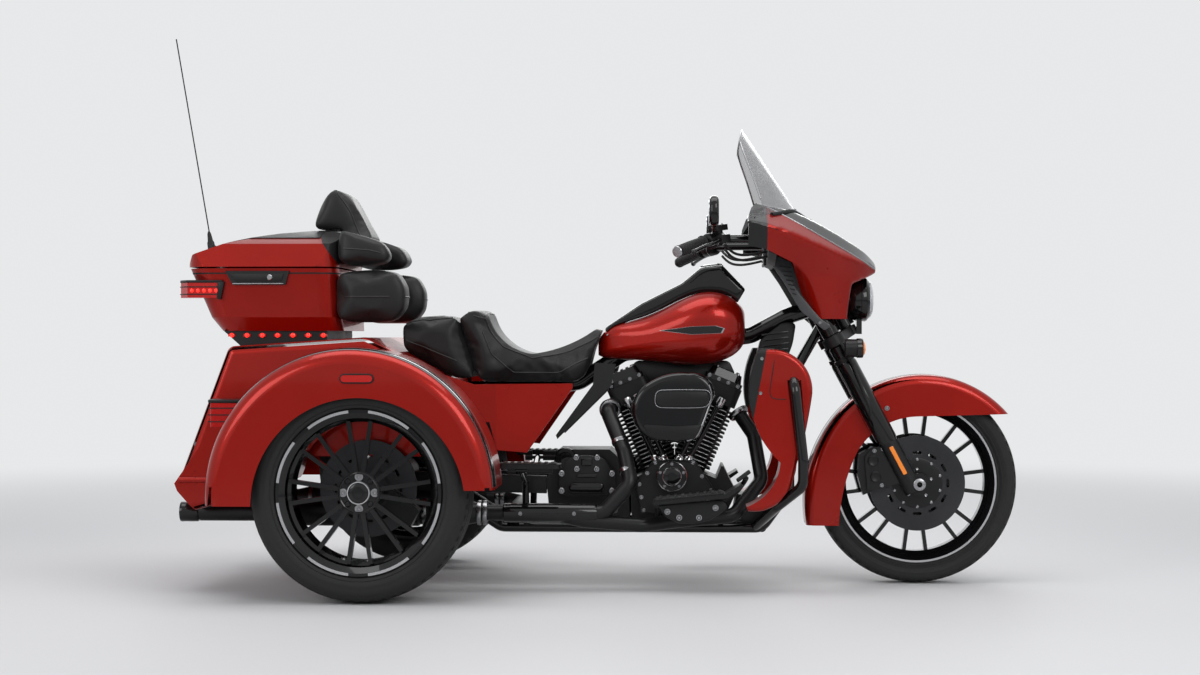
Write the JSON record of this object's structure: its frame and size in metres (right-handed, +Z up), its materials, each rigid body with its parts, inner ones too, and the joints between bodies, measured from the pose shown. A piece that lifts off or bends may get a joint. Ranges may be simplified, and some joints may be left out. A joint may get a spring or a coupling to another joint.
{
  "type": "motorized trike",
  "caption": "Three-wheeled touring motorcycle with a fork-mounted fairing, V-twin engine, stepped seat, top box with wrap-round backrest and a rear body with wide fenders.",
  "frame": {"origin": "on the ground at the middle of the machine's overall box", "axes": "+X forward, +Y to the machine's left, +Z up"},
  "size_m": [2.66, 1.402, 1.7223],
  "materials": {
    "red_paint": "deep metallic red clearcoat",
    "gloss_black": "gloss black",
    "satin_black": "satin black",
    "cast_black": "wrinkle black casting",
    "dark_plastic": "dark grey moulded plastic",
    "tyre": "moulded rubber",
    "grip_rubber": "moulded rubber",
    "steel": "machined steel",
    "aluminium": "machined aluminium",
    "leather": "smooth black upholstery",
    "lamp_red": "moulded red lens",
    "lamp_clear": "clear lens",
    "shield": "tinted windshield"
  },
  "bodies": {
    "chassis": {"frame": "gloss_black", "engine": "cast_black", "cylinders": "cast_black", "rocker_covers": "gloss_black", "gearbox": "cast_black", "primary_cover": "gloss_black", "air_cleaner": "gloss_black", "exhaust": "satin_black", "fuel_tank": "red_paint", "console": "gloss_black", "rider_seat": "leather", "passenger_seat": "leather", "rear_body": "red_paint", "rear_fender_right": "red_paint", "rear_fender_left": "red_paint", "rear_axle": "satin_black", "topbox_body": "red_paint", "topbox_base": "dark_plastic", "engine_guard": "gloss_black", "lower_fairings": "red_paint", "side_covers": "red_paint", "deflectors": "dark_plastic", "oil_cooler": "satin_black", "footboards": "satin_black", "backrest_lower": "leather", "rear_lamps": "lamp_red", "box_latch": "dark_plastic", "rear_calipers": "satin_black"},
    "steering": {"fork_upper": "satin_black", "fork_sliders": "satin_black", "front_fender": "red_paint", "front_calipers": "satin_black", "fairing": "red_paint", "headlamp": "lamp_clear", "dash": "dark_plastic", "windshield": "shield", "handlebar": "gloss_black", "grips": "grip_rubber", "mirrors": "gloss_black", "turn_lamps": "satin_black", "brake_hoses": "grip_rubber"},
    "front_wheel": {"front_rim": "gloss_black", "front_tyre": "tyre", "front_discs": "steel"},
    "rear_wheel_right": {"rear_rim_right": "gloss_black", "rear_tyre_right": "tyre", "rear_disc_right": "steel"},
    "rear_wheel_left": {"rear_rim_left": "gloss_black", "rear_tyre_left": "tyre", "rear_disc_left": "steel"},
    "box_lid": {"topbox_lid": "red_paint", "backrest_upper": "leather", "antenna": "dark_plastic"},
    "rear_door": {"trunk_door": "red_paint"},
    "board_right": {"passenger_board_right": "satin_black"},
    "board_left": {"passenger_board_left": "satin_black"}
  },
  "joints": [
    {"name": "steer", "type": "hinge", "parent": "chassis", "child": "steering", "pos_m": [0.755, 0, 0.88], "axis": [-0.4695, 0, 0.8829], "range_deg": [-33, 33]},
    {"name": "front_wheel_spin", "type": "hinge", "parent": "steering", "child": "front_wheel", "pos_m": [1.01, 0, 0.32], "axis": [0, 1, 0], "continuous": true},
    {"name": "rear_wheel_right_spin", "type": "hinge", "parent": "chassis", "child": "rear_wheel_right", "pos_m": [-0.67, -0.56, 0.326], "axis": [0, 1, 0], "continuous": true},
    {"name": "rear_wheel_left_spin", "type": "hinge", "parent": "chassis", "child": "rear_wheel_left", "pos_m": [-0.67, 0.56, 0.326], "axis": [0, 1, 0], "continuous": true},
    {"name": "box_lid_hinge", "type": "hinge", "parent": "chassis", "child": "box_lid", "pos_m": [-1.015, 0.296, 0.996], "axis": [-1, 0, 0], "range_deg": [0, 75]},
    {"name": "rear_door_hinge", "type": "hinge", "parent": "chassis", "child": "rear_door", "pos_m": [-1.24897, 0, 0.394], "axis": [0, -1, 0], "range_deg": [0, 100]},
    {"name": "board_right_fold", "type": "hinge", "parent": "chassis", "child": "board_right", "pos_m": [-0.194, -0.338, 0.374], "axis": [-1, 0, 0], "range_deg": [0, 75]},
    {"name": "board_left_fold", "type": "hinge", "parent": "chassis", "child": "board_left", "pos_m": [-0.194, 0.338, 0.374], "axis": [1, 0, 0], "range_deg": [0, 75]}
  ]
}
